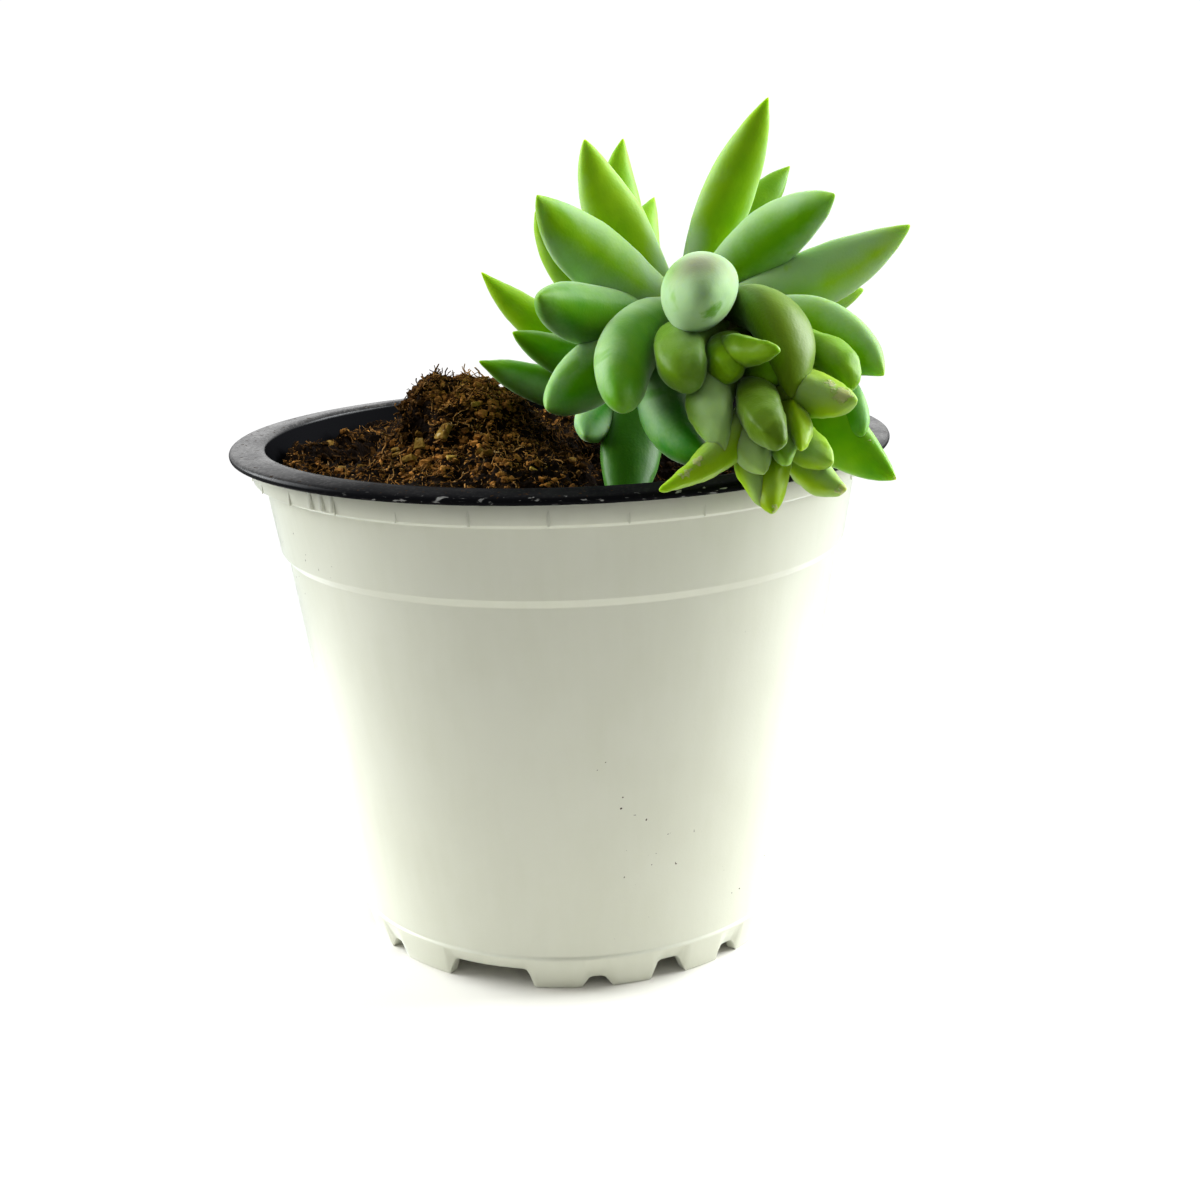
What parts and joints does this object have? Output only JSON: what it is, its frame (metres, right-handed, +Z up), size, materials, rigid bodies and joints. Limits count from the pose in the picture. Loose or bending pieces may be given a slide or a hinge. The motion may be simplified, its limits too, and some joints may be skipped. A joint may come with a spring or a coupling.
{
  "type": "potted burros tail plant",
  "caption": "Young trailing stonecrop with long pointed fleshy leaves and a drooping crown of small ones, growing from heaped brown soil in a round white nursery pot with a black inside and rim.",
  "frame": {"origin": "on the surface that the pot stands on, under the middle of the pot and plant together; the pot's own axis is at Y = +2.75 mm", "axes": "+Z up; the shoot hangs over the pot's -Y side, which faces the camera; +X to the right seen from there"},
  "size_m": [0.105, 0.1106, 0.132],
  "materials": {
    "pot_white": "satin",
    "pot_black": "satin",
    "soil": "matte",
    "stem": "matte",
    "young_leaf": "satin",
    "leaf": "satin"
  },
  "bodies": {
    "root": {"pot_outer_layer": "pot_white", "pot_inner_layer": "pot_black", "soil": "soil", "stem": "stem", "shoot_tip": "young_leaf", "leaf_top": "leaf", "leaf_top_behind": "leaf", "leaf_upper_right": "leaf", "leaf_right": "leaf", "leaf_right_behind": "leaf", "leaf_upper_left": "leaf", "leaf_back_left": "leaf", "leaf_back": "leaf", "leaf_left": "leaf", "leaf_left_behind": "leaf", "leaf_far_left": "leaf", "leaf_left_blunt": "leaf", "leaf_left_middle": "leaf", "leaf_left_low": "leaf", "leaf_front_left": "leaf", "leaf_low_left": "leaf", "leaf_front_drop": "leaf", "leaf_facing": "leaf", "leaf_low_front": "leaf", "leaf_under": "leaf", "leaf_arching": "leaf", "leaf_right_drop": "leaf", "leaf_right_low": "leaf", "leaf_right_under": "leaf", "leaf_back_right": "leaf", "leaf_back_low": "leaf", "leaf_right_far": "leaf"}
  },
  "joints": []
}
